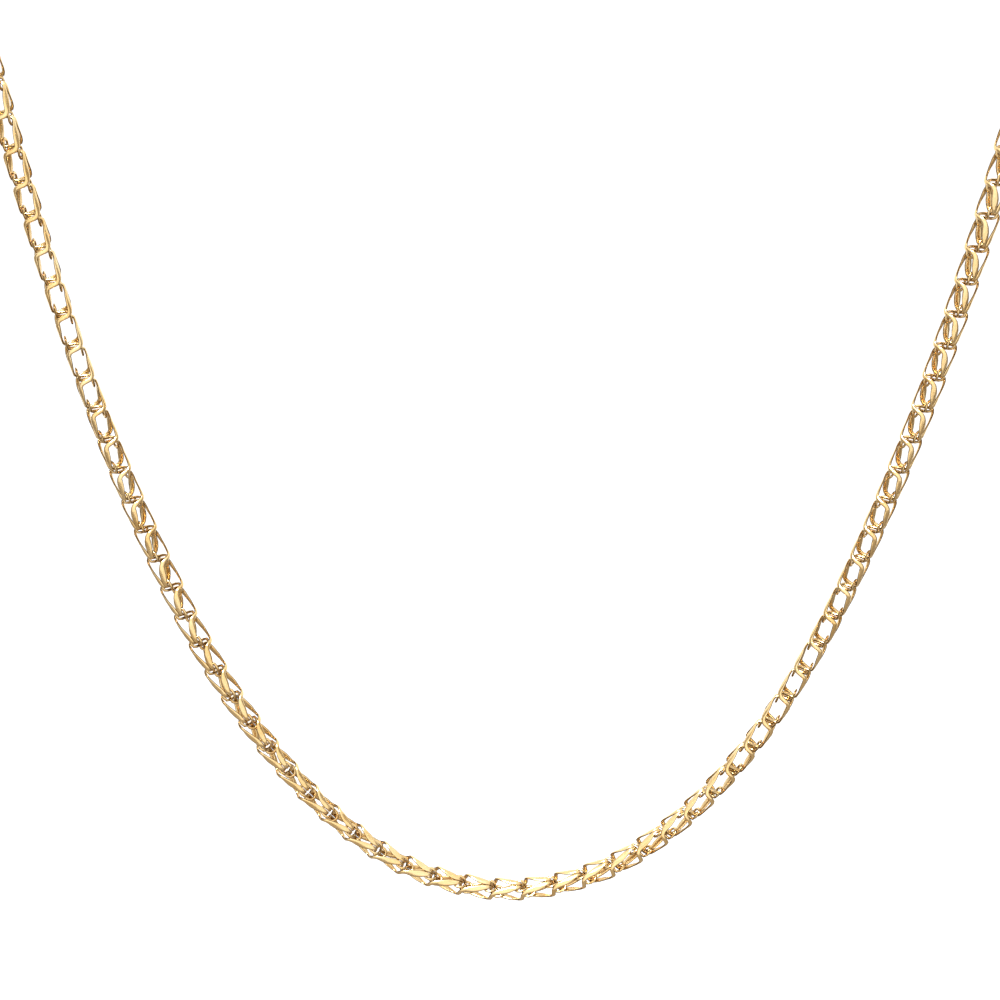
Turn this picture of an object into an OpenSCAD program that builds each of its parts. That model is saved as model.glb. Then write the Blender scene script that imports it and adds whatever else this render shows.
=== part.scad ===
// Gold wheat chain necklace, worn length, hanging from the nape.
// The frame's origin is the middle of the clasp at the nape. +X is to the right as the front is seen,
// +Y points to the back and +Z points up. Millimetres.

/* [Chain] */
// Width of the chain across its links
chain_d = 2; // [1.6:0.1:2.6]

/* [Clasp] */
// Length of the barrel between its shoulders
barrel_l = 8; // [6:0.5:12]
// Diameter of the barrel
barrel_d = 3; // [2.4:0.1:4]
// Radius of the rounded edge at each end of the barrel
barrel_round = 0.7; // [0.3:0.1:1]
// Width of the seam groove round the middle of the barrel
seam_w = 0.3; // [0.2:0.1:0.6]
// Depth of the seam groove
seam_depth = 0.15; // [0.1:0.05:0.3]
// Clear bore of the eye at each end
eye_bore = 1.8; // [1.4:0.1:2.4]
// Thickness of the eye's wire
eye_wire = 0.6; // [0.5:0.05:0.8]
// How far the eye's wire is soldered into the barrel
solder_depth = 0.2; // [0.15:0.05:0.3]

/* [Fit] */
// Gap between the end of the chain and the eye of the clasp
end_gap = 0.3; // [0.2:0.05:0.5]

/* [Hidden] */
gold = [0.86, 0.68, 0.36];

// The right half of the chain's route, from the bottom of the drop to the back of the neck.
// The drop hangs as a free chain does, in the upright plane of the first nine points.
ROUTE = [
    [0, -87, -116],
    [7.7, -87, -114.3],
    [14.3, -87, -109.8],
    [20.2, -87, -103],
    [25.3, -87, -94.4],
    [29.6, -87, -84.3],
    [33.5, -87, -72.9],
    [36.9, -87, -60.4],
    [39.7, -87, -47.7],
    [42.3, -85.5, -35.5],
    [45.3, -80.8, -24.5],
    [48.4, -72.5, -16.5],
    [50.9, -62, -11],
    [52.2, -50.8, -7.2],
    [51.8, -39.2, -4.5],
    [48.8, -28.2, -2.6],
    [42.8, -18.2, -1.3],
    [33.8, -10, -0.6],
    [21.5, -3.4, -0.2]
];
// A point well inside the loop, from which each ring of the tube takes its outward direction
LOOP_CENTRE = [0, -40, -60];
// Rings for each span between two route points
span_rings = 2;
// Sides of the tube, whose flats lie at the chain's width
tube_sides = 8;

eye_r = (eye_bore + eye_wire) / 2;
eye_x = barrel_l / 2 - solder_depth + eye_r + eye_wire / 2;
clasp_end_x = eye_x + eye_r + eye_wire / 2;
tube_r = chain_d / 2 / cos(180 / tube_sides);

function unit(v) = v / norm(v);
function mirrored(p) = [-p.x, p.y, p.z];

// The whole route, from the left end at the clasp down the drop and up to the right end
half_route = concat(ROUTE, [[clasp_end_x + end_gap, 0, 0]]);
half_count = len(half_route);
inner_route = [
    for (i = [half_count - 1 : -1 : 1]) mirrored(half_route[i]),
    for (p = half_route) p
];
// A point beyond each end keeps the chain level and straight where it meets the clasp
end_lead = [2 * half_route[half_count - 1].x - half_route[half_count - 2].x,
            half_route[half_count - 2].y, half_route[half_count - 2].z];
full_route = concat([mirrored(end_lead)], inner_route, [end_lead]);
span_count = len(inner_route) - 1;

// A smooth curve through the route's points, and its direction, on span i at t from 0 to 1
function curve(p, i, t) = 0.5 * (2 * p[i + 1]
    + (p[i + 2] - p[i]) * t
    + (2 * p[i] - 5 * p[i + 1] + 4 * p[i + 2] - p[i + 3]) * t * t
    + (3 * p[i + 1] - p[i] - 3 * p[i + 2] + p[i + 3]) * t * t * t);
function heading(p, i, t) = unit(p[i + 2] - p[i]
    + 2 * (2 * p[i] - 5 * p[i + 1] + 4 * p[i + 2] - p[i + 3]) * t
    + 3 * (3 * p[i + 1] - p[i] - 3 * p[i + 2] + p[i + 3]) * t * t);

// One ring of the tube, square to the route
function ring(at, along) =
    let (outward = at - LOOP_CENTRE)
    let (side = unit(outward - (outward * along) * along))
    let (across = cross(along, side))
    [for (k = [0 : tube_sides - 1])
        let (turn = (k + 0.5) * 360 / tube_sides)
        at + tube_r * (cos(turn) * side + sin(turn) * across)];

module chain() {
    stations = [
        for (i = [0 : span_count - 1], j = [0 : span_rings - 1]) [i, j / span_rings],
        [span_count - 1, 1]
    ];
    rings = [
        for (s = stations) ring(curve(full_route, s[0], s[1]), heading(full_route, s[0], s[1]))
    ];
    ring_count = len(rings);
    points = [for (r = rings, p = r) p];
    start_cap = [[for (k = [tube_sides - 1 : -1 : 0]) k]];
    end_cap = [[for (k = [0 : tube_sides - 1]) (ring_count - 1) * tube_sides + k]];
    walls = [
        for (r = [0 : ring_count - 2], k = [0 : tube_sides - 1])
            let (a = r * tube_sides + k, b = r * tube_sides + (k + 1) % tube_sides)
            [a, b, b + tube_sides, a + tube_sides]
    ];
    color(gold) polyhedron(points = points, faces = concat(start_cap, walls, end_cap), convexity = 10);
}

// Half the barrel's outline, from its axis out to the wall and along to the seam
function barrel_outline() = [
    [0, -barrel_l / 2],
    for (a = [0 : 15 : 90])
        [barrel_d / 2 - barrel_round * (1 - sin(a)), -barrel_l / 2 + barrel_round * (1 - cos(a))],
    [barrel_d / 2, -seam_w / 2],
    [barrel_d / 2 - seam_depth, -seam_w / 2],
    [barrel_d / 2 - seam_depth, 0],
    [0, 0]
];

module barrel_half() {
    rotate([0, 90, 0])
        rotate_extrude($fn = 64)
            polygon(barrel_outline());
}

module eye() {
    translate([eye_x, 0, 0])
        rotate_extrude($fn = 64)
            translate([eye_r, 0])
                circle(d = eye_wire, $fn = 32);
}

module clasp_half() {
    barrel_half();
    mirror([1, 0, 0]) eye();
}

module clasp() {
    color(gold) {
        clasp_half();
        mirror([1, 0, 0]) clasp_half();
    }
}

chain();
clasp();
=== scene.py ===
"""Gold wheat chain necklace: its links, its clasp, their finish and the stage of the photograph."""
import logging
import math
from dataclasses import dataclass
from enum import Enum
from typing import Any, Optional, Sequence, Union

import bpy
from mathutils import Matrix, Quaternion, Vector


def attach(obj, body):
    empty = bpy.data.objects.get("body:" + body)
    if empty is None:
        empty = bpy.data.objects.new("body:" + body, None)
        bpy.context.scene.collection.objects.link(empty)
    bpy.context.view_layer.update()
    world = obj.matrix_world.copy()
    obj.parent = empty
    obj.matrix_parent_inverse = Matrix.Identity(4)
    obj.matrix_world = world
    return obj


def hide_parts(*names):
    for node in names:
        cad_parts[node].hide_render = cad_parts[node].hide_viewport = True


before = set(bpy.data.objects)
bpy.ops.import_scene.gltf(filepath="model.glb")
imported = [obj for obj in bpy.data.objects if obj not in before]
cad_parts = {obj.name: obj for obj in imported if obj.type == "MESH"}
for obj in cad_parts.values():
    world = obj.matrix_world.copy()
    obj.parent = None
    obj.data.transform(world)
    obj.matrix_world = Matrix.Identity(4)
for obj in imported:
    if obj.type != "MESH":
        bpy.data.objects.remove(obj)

log = logging.getLogger("necklace")

MM = 0.001
PITCH_PARTS = 32.0

Point = tuple[float, float, float]
Colour = tuple[float, float, float]
Station = tuple[Point, Point, float, float]
Key = Union[int, str]

# The right half of the chain's route in mm, from its lowest point up and round to the clasp.
ROUTE: tuple[Point, ...] = (
    (0, -87, -116), (7.7, -87, -114.3), (14.3, -87, -109.8), (20.2, -87, -103), (25.3, -87, -94.4),
    (29.6, -87, -84.3), (33.5, -87, -72.9), (36.9, -87, -60.4), (39.7, -87, -47.7),
    (42.3, -85.5, -35.5), (45.3, -80.8, -24.5), (48.4, -72.5, -16.5), (50.9, -62, -11),
    (52.2, -50.8, -7.2), (51.8, -39.2, -4.5), (48.8, -28.2, -2.6), (42.8, -18.2, -1.3),
    (33.8, -10, -0.6), (21.5, -3.4, -0.2), (7.1, 0, 0),
)

# How far the links have turned round the route in degrees, by the distance in mm from its lowest point.
TURNS: tuple[tuple[float, float], ...] = (
    (-222.6, 258), (-68, 81), (-60, 72), (-50, 45), (-19, -21), (31, -106), (64, -140), (222.6, -277),
)

# The flattened wire of one link, in thirty-seconds of the pitch: the middle of a link is at zero, and
# its other half is this half turned through the middle. Each row gives a place along the chain, across
# it and upward, then where the wire's broad face looks, then the wire's width and thickness.
UPPER_STRAND: tuple[Station, ...] = (
    ((1.9, 3.6, 10.3), (0.0, 0.35, 0.9), 4.2, 2.6),
    ((2.5, 0.0, 10.8), (0.0, 0.0, 1.0), 4.0, 2.6),
    ((3.1, -3.4, 10.3), (0.0, -0.35, 0.9), 4.2, 2.6),
    ((4.1, -6.0, 9.3), (0.0, -0.55, 0.8), 4.4, 2.5),
    ((6.1, -7.7, 8.1), (0.0, -0.7, 0.7), 4.8, 2.4),
    ((9.8, -8.5, 6.8), (0.0, -0.8, 0.6), 6.2, 2.1),
    ((14.4, -8.9, 5.2), (0.0, -0.9, 0.45), 7.0, 2.0),
    ((19.4, -9.2, 3.7), (0.0, -0.96, 0.25), 6.4, 2.0),
)
TIP: tuple[Station, ...] = (
    ((23.2, -9.2, 2.8), (0.0, -1.0, 0.1), 5.2, 2.1),
    ((26.0, -8.9, 2.2), (0.35, -0.95, 0.0), 4.0, 2.4),
    ((28.2, -6.8, 1.8), (0.85, -0.5, 0.0), 3.2, 2.8),
    ((29.2, -3.4, 1.8), (1.0, -0.2, 0.0), 3.2, 2.8),
    ((29.8, 0.4, 1.9), (1.0, -0.2, 0.0), 3.2, 2.8),
    ((30.6, 4.0, 2.8), (0.9, -0.5, 0.1), 3.2, 2.6),
    ((31.8, 6.2, 5.1), (0.4, -0.9, 0.2), 2.8, 2.3),
    ((35.6, 6.4, 6.0), (0.1, -1.0, 0.0), 3.0, 2.2),
    ((39.2, 5.9, 5.4), (0.0, -1.0, 0.0), 3.0, 2.2),
    ((41.5, 5.6, 3.0), (0.0, -1.0, 0.0), 3.0, 2.2),
)
TIP_END: Station = ((42.3, 5.5, 0.0), (0.0, -1.0, 0.0), 3.0, 2.2)
LOWER_STRAND: tuple[Station, ...] = (
    ((20.0, -9.2, -3.6), (0.0, -0.97, -0.2), 6.2, 2.0),
    ((15.6, -8.9, -5.0), (0.0, -0.9, -0.4), 7.0, 2.0),
    ((11.0, -8.7, -6.4), (0.0, -0.85, -0.5), 7.0, 2.0),
    ((6.8, -8.4, -7.3), (0.0, -0.8, -0.6), 6.2, 2.1),
    ((3.6, -8.0, -8.0), (0.0, -0.7, -0.7), 5.2, 2.2),
    ((1.2, -7.3, -8.8), (0.0, -0.6, -0.8), 4.6, 2.4),
    ((-0.7, -5.8, -9.7), (0.0, -0.5, -0.85), 4.4, 2.5),
)


class Tint(Enum):
    """The colours of the necklace and its stage, as linear red, green and blue."""

    GOLD = (0.92, 0.67, 0.33)
    GOLD_PALE = (0.97, 0.80, 0.47)
    GOLD_DEEP = (0.82, 0.53, 0.19)
    # A near-black gold: painted shade on the chain's edges, inner faces and knots mixes towards it, and so
    # does the clasp's even dulling.
    GOLD_SHADE_AND_DULL = (0.07, 0.03, 0.008)
    PAPER = (0.95, 0.95, 0.95)
    SKY = (1.0, 1.0, 1.0)
    CARD_PALE = (0.72, 0.70, 0.68)
    CARD_DARK = (0.17, 0.15, 0.13)


class Term:
    """An output socket of a node tree, whose sums and products with numbers and terms are Math nodes."""

    def __init__(self, tree: "Tree", socket: bpy.types.NodeSocket) -> None:
        """Wrap a socket.

        Args:
            tree: the tree that the socket belongs to.
            socket: the output socket.
        """
        self.tree = tree
        self.socket = socket

    def _math(self, operation: str, first: Any, second: Any) -> "Term":
        """Add one Math node.

        Args:
            operation: the node's operation.
            first: its first value or term.
            second: its second value or term.

        Returns:
            The term of its result.
        """
        return self.tree.add("ShaderNodeMath", {"operation": operation}, {0: first, 1: second})

    def __add__(self, other: Any) -> "Term":
        """Add a value or a term."""
        return self._math("ADD", self, other)

    def __radd__(self, other: Any) -> "Term":
        """Add this term to a value."""
        return self._math("ADD", other, self)

    def __rmul__(self, other: Any) -> "Term":
        """Multiply a value by this term."""
        return self._math("MULTIPLY", other, self)


class Tree:
    """A node tree, to which every node is added in the same way."""

    def __init__(self, nodes: bpy.types.NodeTree) -> None:
        """Keep the tree.

        Args:
            nodes: a material's, a world's or a geometry node tree.
        """
        self.nodes = nodes

    def node(self, kind: str, settings: Optional[dict[str, Any]] = None,
             inputs: Optional[dict[Key, Any]] = None) -> bpy.types.Node:
        """Add a node, set its properties and feed its sockets.

        Args:
            kind: the node's type.
            settings: the node's properties; "stops" holds a colour ramp's places and colours.
            inputs: a value or a term for each input, by its name or number.

        Returns:
            The node.
        """
        node = self.nodes.nodes.new(kind)
        for name, value in (settings or {}).items():
            if name == "stops":
                self._set_stops(node, value)
            else:
                setattr(node, name, value)
        for key, value in (inputs or {}).items():
            if isinstance(value, Term):
                self.nodes.links.new(value.socket, node.inputs[key])
            else:
                node.inputs[key].default_value = value
        return node

    def add(self, kind: str, settings: Optional[dict[str, Any]] = None,
            inputs: Optional[dict[Key, Any]] = None, output: Key = 0) -> Term:
        """Add a node in the same way and hand back one of its outputs.

        Args:
            kind: the node's type.
            settings: the node's properties.
            inputs: a value or a term for each input.
            output: the output's name or number.

        Returns:
            The term of that output.
        """
        return Term(self, self.node(kind, settings, inputs).outputs[output])

    @staticmethod
    def _set_stops(node: bpy.types.Node, stops: Sequence[tuple[float, Colour]]) -> None:
        """Set the stops of a colour ramp.

        Args:
            node: the ramp.
            stops: a place and a colour for each stop, in order.
        """
        elements = node.color_ramp.elements
        while len(elements) < len(stops):
            elements.new(1.0)
        for element, (place, colour) in zip(elements, stops):
            element.position = place
            element.color = (*colour, 1.0)


def blank_material(name: str) -> tuple[bpy.types.Material, Tree]:
    """Make a material without nodes.

    Args:
        name: its name.

    Returns:
        The material and its tree.
    """
    material = bpy.data.materials.new(name)
    material.use_nodes = True
    material.node_tree.nodes.clear()
    return material, Tree(material.node_tree)


def shown(name: str, data: bpy.types.ID) -> bpy.types.Object:
    """Make an object and put it in the scene.

    Args:
        name: its name.
        data: its mesh, light or camera.

    Returns:
        The object, at the origin.
    """
    item = bpy.data.objects.new(name, data)
    bpy.context.scene.collection.objects.link(item)
    return item


@dataclass(frozen=True)
class GoldFinish:
    """Polished yellow gold with soft wear, uneven colour, a fine drawn grain, and painted shade on the
    wire's edges, inner faces and knots.
    """

    name: str
    grain_mm: float = 0.12
    cloud_mm: float = 3.0
    cloud_share: float = 0.65
    noise_detail: float = 3.0
    roughness: float = 0.13
    roughness_spread: float = 0.14
    bump_mm: float = 0.006
    bump_strength: float = 0.5
    painted_shade: float = 0.95
    dulling: float = 0.0

    def _noise(self, tree: Tree, place: Term, size_mm: float) -> Term:
        """Add noise with features of one size."""
        return tree.add("ShaderNodeTexNoise", None,
                        {"Vector": place, "Scale": 1.0 / (size_mm * MM), "Detail": self.noise_detail},
                        "Fac")

    def make(self) -> bpy.types.Material:
        """Make the material on Object coordinates.

        Returns:
            The material.
        """
        material, tree = blank_material(self.name)
        place = tree.add("ShaderNodeTexCoord", output="Object")
        cloud = self._noise(tree, place, self.cloud_mm)
        grain = self._noise(tree, place, self.grain_mm)
        stops = ((0.3, Tint.GOLD_DEEP.value), (0.5, Tint.GOLD.value), (0.75, Tint.GOLD_PALE.value))
        uneven = self.cloud_share * cloud + (1.0 - self.cloud_share) * grain
        bright = tree.add("ShaderNodeValToRGB", {"stops": stops}, {"Fac": uneven})
        # Painted shade: faces that carry this attribute are mixed towards a near-black gold, which darkens
        # the wire's edges, inner faces and knots as if they were in shadow. The clasp's dulling is instead
        # an even, darker tone over the whole clasp.
        shade_amount = tree.add("ShaderNodeAttribute", {"attribute_name": "painted_shade"}, None, "Fac")
        colour = tree.add("ShaderNodeMix", {"data_type": "RGBA"},
                          {"Factor": self.dulling + self.painted_shade * shade_amount, "A": bright,
                           "B": (*Tint.GOLD_SHADE_AND_DULL.value, 1.0)}, "Result")
        bump = tree.add("ShaderNodeBump", None, {"Strength": self.bump_strength, "Height": grain,
                                                 "Distance": self.bump_mm * MM})
        shader = tree.add("ShaderNodeBsdfPrincipled", None,
                          {"Base Color": colour, "Metallic": 1.0, "Normal": bump,
                           "Roughness": self.roughness + self.roughness_spread * cloud})
        tree.node("ShaderNodeOutputMaterial", None, {"Surface": shader})
        return material


@dataclass(frozen=True)
class PaperFinish:
    """Plain matt paper, as the floor and the cards of the studio are made of."""

    name: str
    tint: Tint
    roughness: float = 0.9

    def make(self) -> bpy.types.Material:
        """Make the material.

        Returns:
            The material.
        """
        material, tree = blank_material(self.name)
        shader = tree.add("ShaderNodeBsdfPrincipled", None,
                          {"Base Color": (*self.tint.value, 1.0), "Roughness": self.roughness})
        tree.node("ShaderNodeOutputMaterial", None, {"Surface": shader})
        return material


def spline(points: Sequence[Vector], steps: int) -> list[Vector]:
    """Run an open uniform Catmull-Rom spline through points.

    Args:
        points: the points, of which the first and last ones only lead it in and out.
        steps: how many samples each span gets.

    Returns:
        The samples, from the second point to the last but one.
    """
    samples = []
    for before, start, end, after in zip(points, points[1:], points[2:], points[3:]):
        for step in range(steps):
            t = step / steps
            samples.append(0.5 * (2.0 * start + (end - before) * t
                                  + (2.0 * before - 5.0 * start + 4.0 * end - after) * t ** 2
                                  + (3.0 * start - before - 3.0 * end + after) * t ** 3))
    return [*samples, points[-2]]


@dataclass
class Route:
    """The way that the chain takes, and how far its links have turned round it along the way.

    The links go on past the first and last points, by the distance into the clasp's eyes, in mm.
    """

    points: Sequence[Point]
    turns: Sequence[tuple[float, float]]
    into_eye: float = 1.22
    steps: int = 12

    def samples(self) -> list[Vector]:
        """Sample the whole loop from the left end through the lowest point to the right end.

        Returns:
            Places in mm, the first and last inside the clasp's eyes.
        """
        half = [Vector(point) for point in self.points]
        left = [Vector((-p.x, p.y, p.z)) for p in reversed(half[1:])]
        whole = left + half
        lead = [Vector((2 * whole[0].x - whole[1].x, whole[1].y, whole[1].z))]
        tail = [Vector((2 * whole[-1].x - whole[-2].x, whole[-2].y, whole[-2].z))]
        places = spline(lead + whole + tail, self.steps)
        inside = Vector((self.into_eye, 0, 0))
        return [places[0] + inside, *places, places[-1] - inside]

    def lengths(self, places: Sequence[Vector]) -> list[float]:
        """Measure along the samples.

        Args:
            places: the route's samples.

        Returns:
            The distance of each from the first.
        """
        total = [0.0]
        for before, after in zip(places, places[1:]):
            total.append(total[-1] + (after - before).length)
        return total

    def turn_at(self, distance: float) -> float:
        """Find how far the links have turned.

        Args:
            distance: mm from the lowest point, negative on the left.

        Returns:
            The turn in radians.
        """
        spans = list(zip(self.turns, self.turns[1:]))
        (start, first), (end, last) = next((s for s in spans if distance <= s[1][0]), spans[-1])
        return math.radians(first + (last - first) * (distance - start) / (end - start))

    def sides(self, places: Sequence[Vector]) -> list[Vector]:
        """Carry the links' sideways direction along the route without needless twist, then turn it.

        Args:
            places: the route's samples.

        Returns:
            A unit vector for each sample.
        """
        along = self.lengths(places)
        ways = [(places[min(i + 1, len(places) - 1)] - places[max(i - 1, 0)]).normalized()
                for i in range(len(places))]
        middle = min(range(len(places)), key=lambda i: places[i].z)
        carried = {middle: Vector((0, -1, 0))}
        for step in (1, -1):
            i = middle
            while 0 <= i + step < len(places):
                turn = ways[i].rotation_difference(ways[i + step])
                carried[i + step] = turn @ carried[i]
                i += step
        made = []
        for i, way in enumerate(ways):
            turn = self.turn_at(along[i] - along[middle])
            made.append((Quaternion(way, turn + math.pi) @ carried[i]).normalized())
        return made

    def build(self) -> tuple[bpy.types.Object, float]:
        """Make the route a line of edges that carries the sideways direction as an attribute.

        Returns:
            The line's object and the route's length in metres.
        """
        places = self.samples()
        mesh = bpy.data.meshes.new("route")
        edges = [(i, i + 1) for i in range(len(places) - 1)]
        mesh.from_pydata([place * MM for place in places], edges, [])
        side = mesh.attributes.new("side", "FLOAT_VECTOR", "POINT")
        for item, vector in zip(side.data, self.sides(places)):
            item.vector = vector
        return shown("route", mesh), self.lengths(places)[-1] * MM


@dataclass
class Link:
    """One closed link of flattened wire, whose ends pass through the next links and hook each other.

    The shoulder and the rim say how far the wire's camber reaches, as shares of half its width and of half
    its thickness. Wire that is narrower than the knot's width lies in a knot and gets painted shade all
    round, as if the knot were in shadow, and the painted shade holds one value for each face round the
    wire's section.
    """

    pitch: float = 2.7
    girth: float = 0.955
    shoulder: float = 0.45
    rim: float = 0.4
    sharp_angle: float = 80.0
    knot_width: float = 3.6
    knot_painted_shade: float = 0.16
    # Painted shade on each face round the section, in order: full on the two narrow edges, a little on the
    # outer shoulders, none on the outer broad face, and more on the inner shoulders and the inner broad
    # face.
    painted_shade: tuple[float, ...] = (1.0, 0.05, 0.0, 0.05, 1.0, 0.22, 0.18, 0.22)

    def stations(self) -> list[Station]:
        """List the wire's stations round the whole closed link.

        Returns:
            The stations, in thirty-seconds of the pitch.
        """
        back = [((x, y, -z), (a, b, -c), w, t) for (x, y, z), (a, b, c), w, t in reversed(TIP)]
        half = [*UPPER_STRAND, *TIP, TIP_END, *back, *LOWER_STRAND]
        turned = [((-x, -y, -z), (-a, -b, -c), w, t) for (x, y, z), (a, b, c), w, t in half]
        return half + turned

    @property
    def reach(self) -> float:
        """The distance from a link's middle to the wire's centre line at its end, in mm."""
        return TIP_END[0][0] * self.pitch / PITCH_PARTS

    def _section(self, width: float, thick: float) -> list[tuple[float, float]]:
        """List the corners of the wire's cambered section.

        Args:
            width: its width.
            thick: its thickness.

        Returns:
            Places across the broad face and outward from it.
        """
        side, top = width / 2, thick / 2
        inner, low = side * self.shoulder, top * self.rim
        return [(side, -low), (side, low), (inner, top), (-inner, top),
                (-side, low), (-side, -low), (-inner, -top), (inner, -top)]

    def build(self) -> bpy.types.Object:
        """Sweep the wire's section along the stations.

        Returns:
            The link's object, at the origin and along X, in metres.
        """
        stations = self.stations()
        count = len(stations)
        unit = self.pitch / PITCH_PARTS * MM
        places = [Vector(station[0]) for station in stations]
        sides = len(self.painted_shade)
        verts, faces = [], []
        for i, (_, face, width, thick) in enumerate(stations):
            way = (places[(i + 1) % count] - places[i - 1]).normalized()
            out = Vector(face)
            out = (out - way * out.dot(way)).normalized()
            across = way.cross(out)
            for right, up in self._section(width, thick):
                vert = places[i] + across * right + out * up
                verts.append(Vector((vert.x, vert.y * self.girth, vert.z * self.girth)) * unit)
            here, there = i * sides, ((i + 1) % count) * sides
            for k in range(sides):
                after = (k + 1) % sides
                faces.append((here + k, there + k, there + after, here + after))
        mesh = bpy.data.meshes.new("link")
        mesh.from_pydata(verts, [], faces)
        mesh.shade_smooth()
        mesh.set_sharp_from_angle(angle=math.radians(self.sharp_angle))
        # Wire inside a knot gets at least this much painted shade on every face, as if the knot were in
        # shadow.
        least = [self.knot_painted_shade * (width < self.knot_width) for _, _, width, _ in stations]
        painted_shade = mesh.attributes.new("painted_shade", "FLOAT", "FACE")
        painted_shade.data.foreach_set("value", [max(low, shade_amount) for low in least for shade_amount in self.painted_shade])
        return shown("link", mesh)


@dataclass
class WheatChain:
    """The chain: its links in a row, then bent and turned along the route."""

    route: Route
    link: Link
    links: int = 164

    def _tree(self) -> bpy.types.NodeTree:
        """Make the geometry nodes that lay the links and bend the row along the route.

        Returns:
            The node tree, whose inputs are named after what they are.
        """
        group = bpy.data.node_groups.new("wheat_chain", "GeometryNodeTree")
        for name, kind in (("Link", "NodeSocketObject"), ("Route", "NodeSocketObject"),
                           ("Finish", "NodeSocketMaterial"), ("Count", "NodeSocketInt"),
                           ("Pitch", "NodeSocketFloat"), ("First", "NodeSocketFloat")):
            group.interface.new_socket(name, in_out="INPUT", socket_type=kind)
        group.interface.new_socket("Geometry", in_out="OUTPUT", socket_type="NodeSocketGeometry")
        tree = Tree(group)
        given = tree.node("NodeGroupInput")
        value = {socket.name: Term(tree, socket) for socket in given.outputs if socket.name}
        start = tree.add("ShaderNodeCombineXYZ", None, {"X": value["First"]})
        offset = tree.add("ShaderNodeCombineXYZ", None, {"X": value["Pitch"]})
        row = tree.add("GeometryNodeMeshLine", {"mode": "OFFSET", "count_mode": "TOTAL"},
                       {"Count": value["Count"], "Start Location": start, "Offset": offset})
        link = tree.add("GeometryNodeObjectInfo", None, {"Object": value["Link"]}, "Geometry")
        laid = tree.add("GeometryNodeInstanceOnPoints", None, {"Points": row, "Instance": link})
        links = tree.add("GeometryNodeRealizeInstances", None, {"Geometry": laid})
        line = tree.add("GeometryNodeObjectInfo", None, {"Object": value["Route"]}, "Geometry")
        curve = tree.add("GeometryNodeMeshToCurve", None, {"Mesh": line})
        place = tree.add("GeometryNodeInputPosition")
        along, side_part, up_part = (self._part(tree, place, name) for name in ("X", "Y", "Z"))
        side_kept = tree.add("GeometryNodeInputNamedAttribute", {"data_type": "FLOAT_VECTOR"},
                             {"Name": "side"})
        sample = tree.node("GeometryNodeSampleCurve",
                           {"mode": "LENGTH", "data_type": "FLOAT_VECTOR", "use_all_curves": True},
                           {"Curves": curve, "Value": side_kept, "Length": along})
        side = self._vector(tree, "NORMALIZE", Term(tree, sample.outputs["Value"]))
        up = self._vector(tree, "CROSS_PRODUCT", Term(tree, sample.outputs["Tangent"]), side)
        moved = self._vector(tree, "ADD", Term(tree, sample.outputs["Position"]),
                             self._scaled(tree, side, side_part))
        moved = self._vector(tree, "ADD", moved, self._scaled(tree, up, up_part))
        bent = tree.add("GeometryNodeSetPosition", None, {"Geometry": links, "Position": moved})
        done = tree.add("GeometryNodeSetMaterial", None, {"Geometry": bent, "Material": value["Finish"]})
        tree.node("NodeGroupOutput", None, {"Geometry": done})
        return group

    @staticmethod
    def _part(tree: Tree, vector: Term, name: str) -> Term:
        """Take one part of a vector."""
        return tree.add("ShaderNodeSeparateXYZ", None, {0: vector}, name)

    @staticmethod
    def _vector(tree: Tree, operation: str, first: Term, second: Optional[Term] = None) -> Term:
        """Add one Vector Math node on one or two vectors."""
        given = {0: first} if second is None else {0: first, 1: second}
        return tree.add("ShaderNodeVectorMath", {"operation": operation}, given)

    @staticmethod
    def _scaled(tree: Tree, vector: Term, amount: Term) -> Term:
        """Scale a vector by a number."""
        return tree.add("ShaderNodeVectorMath", {"operation": "SCALE"}, {0: vector, "Scale": amount})

    def build(self, finish: bpy.types.Material) -> bpy.types.Object:
        """Make the whole chain one mesh.

        Args:
            finish: the links' material.

        Returns:
            The chain's object at the origin.
        """
        line, length = self.route.build()
        item = self.link.build()
        reach = self.link.reach * MM
        given = {"Link": item, "Route": line, "Finish": finish, "Count": self.links,
                 "Pitch": (length - 2 * reach) / (self.links - 1), "First": reach}
        holder = shown("holder", bpy.data.meshes.new("holder"))
        modifier = holder.modifiers.new("wheat_chain", "NODES")
        modifier.node_group = self._tree()
        for socket in modifier.node_group.interface.items_tree:
            if socket.in_out == "INPUT":
                modifier[socket.identifier] = given[socket.name]
        bpy.context.view_layer.update()
        seen = holder.evaluated_get(bpy.context.evaluated_depsgraph_get())
        mesh = bpy.data.meshes.new_from_object(seen)
        mesh.name = "chain_links"
        chain = shown("chain_links", mesh)
        for used in (holder, line, item):
            bpy.data.objects.remove(used)
        log.info("chain: %d links, %d faces", self.links, len(mesh.polygons))
        return chain


@dataclass
class Clasp:
    """The plain barrel clasp, which keeps its CAD mesh and takes a finish."""

    node: str = "clasp"
    slot: str = "clasp_gold"

    def dress(self, finish: bpy.types.Material) -> None:
        """Give the clasp its material.

        Args:
            finish: the material.
        """
        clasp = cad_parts[self.node]
        clasp.data.materials.clear()
        clasp.data.materials.append(finish)


@dataclass(frozen=True)
class Card:
    """A square card, placed in mm from the camera's aim, that only the gold's reflections see."""

    name: str
    place: Point
    size: float
    tint: Tint


@dataclass(frozen=True)
class Lamp:
    """A soft square light, placed in mm from the camera's aim, with its power in watts."""

    name: str
    place: Point
    size: float
    power: float


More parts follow.
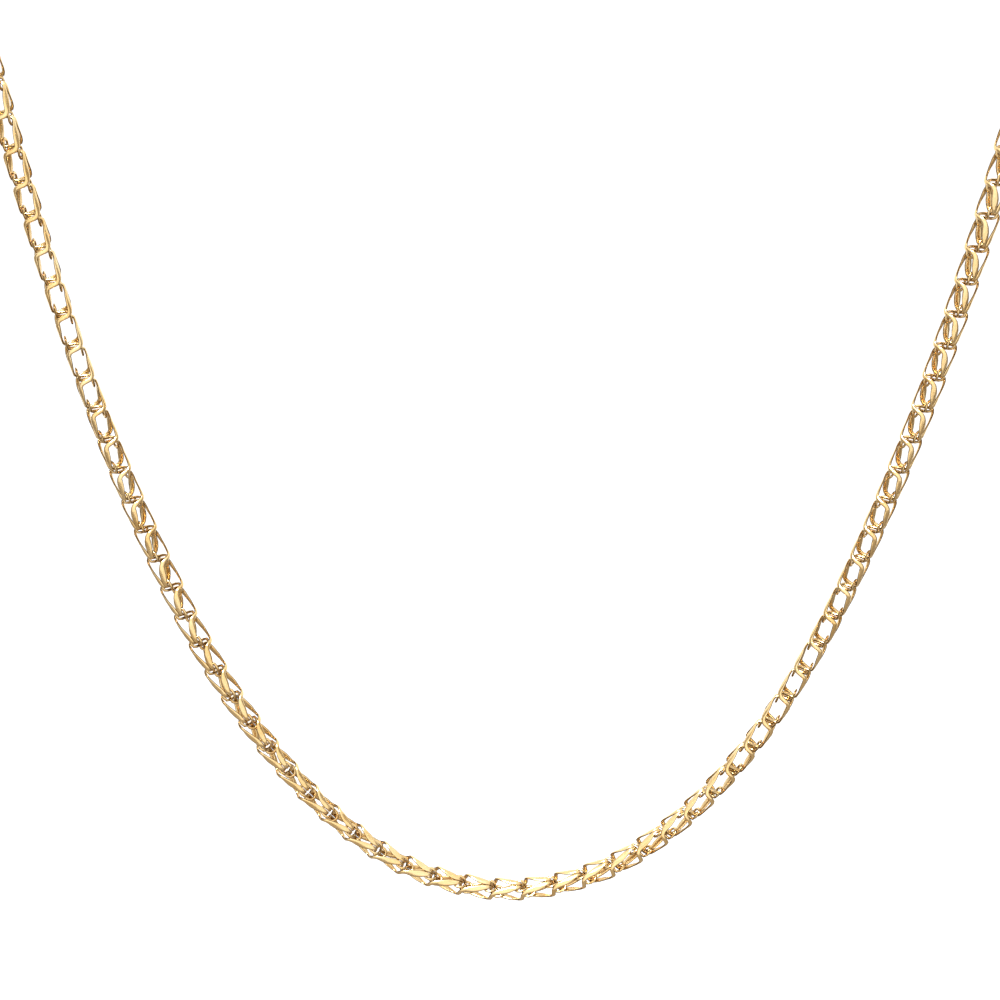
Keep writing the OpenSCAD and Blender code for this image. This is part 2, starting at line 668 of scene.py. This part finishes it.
@dataclass
class Studio:
    """The floor, the cards, the light and the camera of the photograph, in mm and degrees."""

    aim: Point = (-0.77, -87.0, -80.8)
    distance: float = 159.9
    elevation: float = 15.9
    lens: float = 70.2
    sensor: float = 36.0
    nearest: float = 10.0
    farthest: float = 100000.0
    floor_z: float = -420.0
    floor_size: float = 60000.0
    brightness: float = 1.2
    cards: tuple[Card, ...] = (
        Card("front_card", (0, -420, 0), 620, Tint.CARD_PALE),
        Card("back_card", (0, 420, 0), 620, Tint.CARD_PALE),
        Card("low_card", (0, 0, -160), 520, Tint.CARD_DARK),
        Card("left_card", (-360, 0, -20), 420, Tint.CARD_DARK),
        Card("right_card", (360, 0, -20), 420, Tint.CARD_DARK),
    )
    top_light: Lamp = Lamp("top_light", (-60, -160, 380), 160, 5.0)

    @staticmethod
    def _square(name: str, middle: Vector, turn: Quaternion, size: float,
                finish: PaperFinish) -> bpy.types.Object:
        """Make one square sheet of paper.

        Args:
            name: its name.
            middle: its middle in mm.
            turn: how it is turned from lying flat.
            size: its width in mm.
            finish: its finish.

        Returns:
            The sheet.
        """
        half = size / 2
        corners = [(middle + turn @ Vector((x, y, 0))) * MM
                   for x, y in ((-half, -half), (half, -half), (half, half), (-half, half))]
        mesh = bpy.data.meshes.new(name)
        mesh.from_pydata(corners, [], [(0, 1, 2, 3)])
        mesh.materials.append(finish.make())
        return shown(name, mesh)

    def _lay_floor(self) -> None:
        """Lay the floor well below the necklace."""
        finish = PaperFinish("floor_white", Tint.PAPER)
        floor = self._square("floor", Vector((0, 0, self.floor_z)), Quaternion(), self.floor_size, finish)

    def _stand_card(self, given: Card) -> None:
        """Stand one card, turned to the necklace."""
        place = Vector(given.place)
        turn = (-place).to_track_quat("Z", "Y")
        card = self._square(given.name, Vector(self.aim) + place, turn, given.size,
                            PaperFinish(given.name, given.tint))
        card.visible_camera = False
        card.visible_diffuse = False
        card.visible_shadow = False

    def _hang_light(self, given: Lamp) -> None:
        """Hang one light that looks at the necklace."""
        data = bpy.data.lights.new(given.name, "AREA")
        data.shape = "SQUARE"
        data.size = given.size * MM
        data.energy = given.power
        place = Vector(given.place)
        lamp = shown(given.name, data)
        lamp.location = (Vector(self.aim) + place) * MM
        lamp.rotation_mode = "QUATERNION"
        lamp.rotation_quaternion = (-place).to_track_quat("-Z", "Y")
        lamp.visible_camera = False

    def _surround(self) -> None:
        """Surround the stage with even white light."""
        world = bpy.data.worlds.new("studio")
        world.use_nodes = True
        world.node_tree.nodes.clear()
        tree = Tree(world.node_tree)
        white = tree.add("ShaderNodeBackground", None,
                         {"Color": (*Tint.SKY.value, 1.0), "Strength": self.brightness})
        tree.node("ShaderNodeOutputWorld", None, {"Surface": white})
        bpy.context.scene.world = world

    def _set_camera(self) -> None:
        """Set the camera where the photograph was taken from."""
        tilt = math.radians(self.elevation)
        back = Vector((0.0, -math.cos(tilt), math.sin(tilt)))
        data = bpy.data.cameras.new("camera")
        data.lens = self.lens
        data.sensor_width = self.sensor
        data.clip_start = self.nearest * MM
        data.clip_end = self.farthest * MM
        camera = shown("camera", data)
        camera.location = (Vector(self.aim) + back * self.distance) * MM
        camera.rotation_mode = "QUATERNION"
        camera.rotation_quaternion = (-back).to_track_quat("-Z", "Y")
        bpy.context.scene.camera = camera

    def build(self) -> None:
        """Set up the floor, the cards, the light and the camera."""
        self._lay_floor()
        self._surround()
        for card in self.cards:
            self._stand_card(card)
        self._hang_light(self.top_light)
        self._set_camera()
        bpy.context.scene.view_settings.view_transform = "Standard"


def main() -> None:
    """Build the necklace and its stage."""
    logging.basicConfig(level=logging.INFO)
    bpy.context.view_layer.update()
    chain = WheatChain(Route(ROUTE, TURNS), Link()).build(GoldFinish("chain_gold_polish").make())
    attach(chain, "root")
    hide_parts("chain")
    Clasp().dress(GoldFinish("clasp_gold_polish", grain_mm=0.2, dulling=0.2).make())
    Studio().build()


if __name__ == "__main__":
    main()
